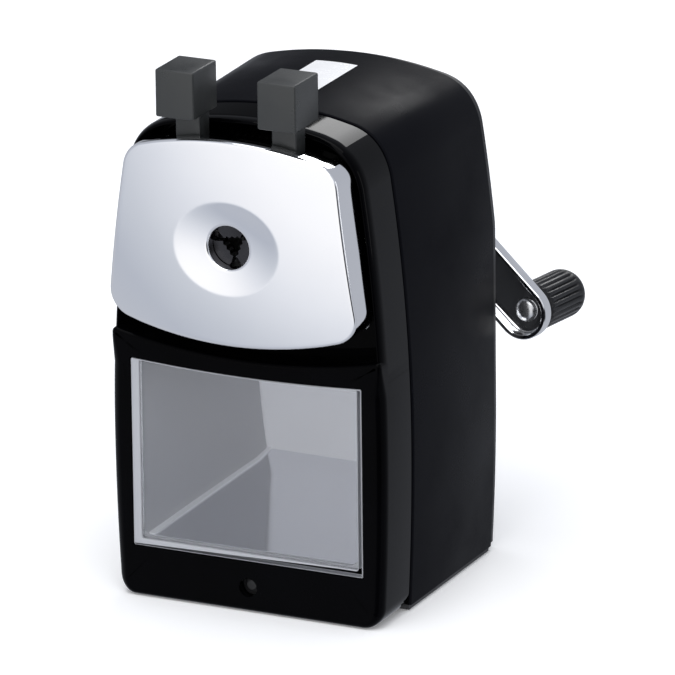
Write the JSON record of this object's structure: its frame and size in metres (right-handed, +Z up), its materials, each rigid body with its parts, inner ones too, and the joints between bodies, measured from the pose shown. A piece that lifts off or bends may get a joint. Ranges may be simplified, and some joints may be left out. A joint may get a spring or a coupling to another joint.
{
  "type": "pencil sharpener",
  "caption": "Desk pencil sharpener with a rear crank, a sprung pull-out chrome face plate, squeeze levers opening a toothed chuck, and a clear shavings drawer.",
  "frame": {"origin": "on the table, under the middle of the body", "axes": "+Z up, -Y out of the pencil hole at the front, +X to the right of someone facing the pencil hole"},
  "size_m": [0.0843, 0.1065, 0.137],
  "materials": {
    "rubber": "matte",
    "black_plastic": "fine texture",
    "gloss_black": "high gloss",
    "cap_plastic": "fine texture",
    "knob_plastic": "satin",
    "bushing_plastic": "natural acetal",
    "black_paint": "satin black",
    "plate_chrome": "polished",
    "arm_chrome": "polished",
    "screw_steel": "bright zinc",
    "sheet_steel": "zinc plated",
    "rod_steel": "ground",
    "spring_steel": "drawn wire",
    "jaw_steel": "hardened",
    "gear_metal": "sintered",
    "carrier_metal": "as cast",
    "cutter_steel": "hardened, ground",
    "bearing_bronze": "sintered bronze",
    "clear_plastic": "clear, lightly smoky",
    "label_film": "white film"
  },
  "bodies": {
    "housing": {"base_pad": "rubber", "base_plate": "black_plastic", "base_screws": "screw_steel", "front_frame": "gloss_black", "front_screw": "screw_steel", "frame_screws": "screw_steel", "casing": "black_paint", "rear_cover": "black_plastic", "cover_screws": "screw_steel", "drawer_guide": "black_plastic", "mech_bracket": "sheet_steel", "ring_gear": "gear_metal", "gear_screws": "screw_steel", "rod_bushings": "bushing_plastic", "shaft_bushing": "bearing_bronze", "top_label": "label_film"},
    "face_slide": {"face_plate": "plate_chrome", "chuck_plate": "sheet_steel", "plate_screws": "screw_steel", "guide_rods": "rod_steel", "rod_clips": "screw_steel", "rod_spring_left": "spring_steel", "rod_spring_right": "spring_steel"},
    "right_lever": {"lever_right": "sheet_steel", "cap_right": "cap_plastic", "jaw_pins": "rod_steel", "lever_spring": "spring_steel"},
    "left_lever": {"lever_left": "sheet_steel", "cap_left": "cap_plastic"},
    "jaw_1": {"jaw_top": "jaw_steel"},
    "jaw_2": {"jaw_lower_left": "jaw_steel"},
    "jaw_3": {"jaw_lower_right": "jaw_steel"},
    "drawer_box": {"drawer": "clear_plastic"},
    "crank": {"cutter_carrier": "carrier_metal", "cutter_axle": "rod_steel", "crank_shaft": "rod_steel", "shaft_clip": "screw_steel", "crank_arm": "arm_chrome", "crank_nut": "screw_steel", "knob_pin": "screw_steel"},
    "cutter_roll": {"cutter": "cutter_steel", "cutter_pinion": "gear_metal"},
    "crank_knob": {"knob": "knob_plastic"}
  },
  "joints": [
    {"name": "face_plate_slide", "type": "slide", "parent": "housing", "child": "face_slide", "axis": [0, -1, 0], "range_m": [0, 0.03], "stiffness_N_per_m": 120, "springref_m": -0.02, "deforming": ["rod_spring_left", "rod_spring_right"]},
    {"name": "lever_right_swing", "type": "hinge", "parent": "face_slide", "child": "right_lever", "pos_m": [0, -0.0352, 0.0947], "axis": [0, -1, 0], "range_deg": [0, 8], "stiffness_Nm_per_rad": 0.12, "springref_deg": -20.05, "deforming": ["lever_spring"]},
    {"name": "lever_left_swing", "type": "hinge", "parent": "face_slide", "child": "left_lever", "pos_m": [0, -0.0336, 0.0947], "axis": [0, 1, 0], "range_deg": [0, 8]},
    {"name": "jaw_1_swing", "type": "hinge", "parent": "right_lever", "child": "jaw_1", "pos_m": [0.00631, -0.03745, 0.10371], "axis": [0, 1, 0], "range_deg": [0, 27]},
    {"name": "jaw_2_swing", "type": "hinge", "parent": "right_lever", "child": "jaw_2", "pos_m": [-0.01096, -0.03745, 0.09566], "axis": [0, 1, 0], "range_deg": [0, 27]},
    {"name": "jaw_3_swing", "type": "hinge", "parent": "right_lever", "child": "jaw_3", "pos_m": [0.00465, -0.03745, 0.08473], "axis": [0, 1, 0], "range_deg": [0, 27]},
    {"name": "drawer_slide", "type": "slide", "parent": "housing", "child": "drawer_box", "axis": [0, -1, 0], "range_m": [0, 0.056]},
    {"name": "crank_spin", "type": "hinge", "parent": "housing", "child": "crank", "pos_m": [0, 0.0215, 0.0947], "axis": [0, 1, 0], "continuous": true},
    {"name": "cutter_spin", "type": "hinge", "parent": "crank", "child": "cutter_roll", "pos_m": [0, -0.0157, 0.1067], "axis": [0, 0.9833, -0.1822], "continuous": true},
    {"name": "knob_spin", "type": "hinge", "parent": "crank", "child": "crank_knob", "pos_m": [0.04022, 0.04144, 0.05973], "axis": [0.0658, 0.9962, -0.0572], "continuous": true}
  ],
  "couplings": [
    {"joint": "lever_left_swing", "follows": "lever_right_swing", "ratio": 1},
    {"joint": "cutter_spin", "follows": "crank_spin", "ratio": -3},
    {"joint": "jaw_1_swing", "follows": "lever_right_swing", "ratio": 3.375},
    {"joint": "jaw_2_swing", "follows": "lever_right_swing", "ratio": 3.375},
    {"joint": "jaw_3_swing", "follows": "lever_right_swing", "ratio": 3.375}
  ]
}
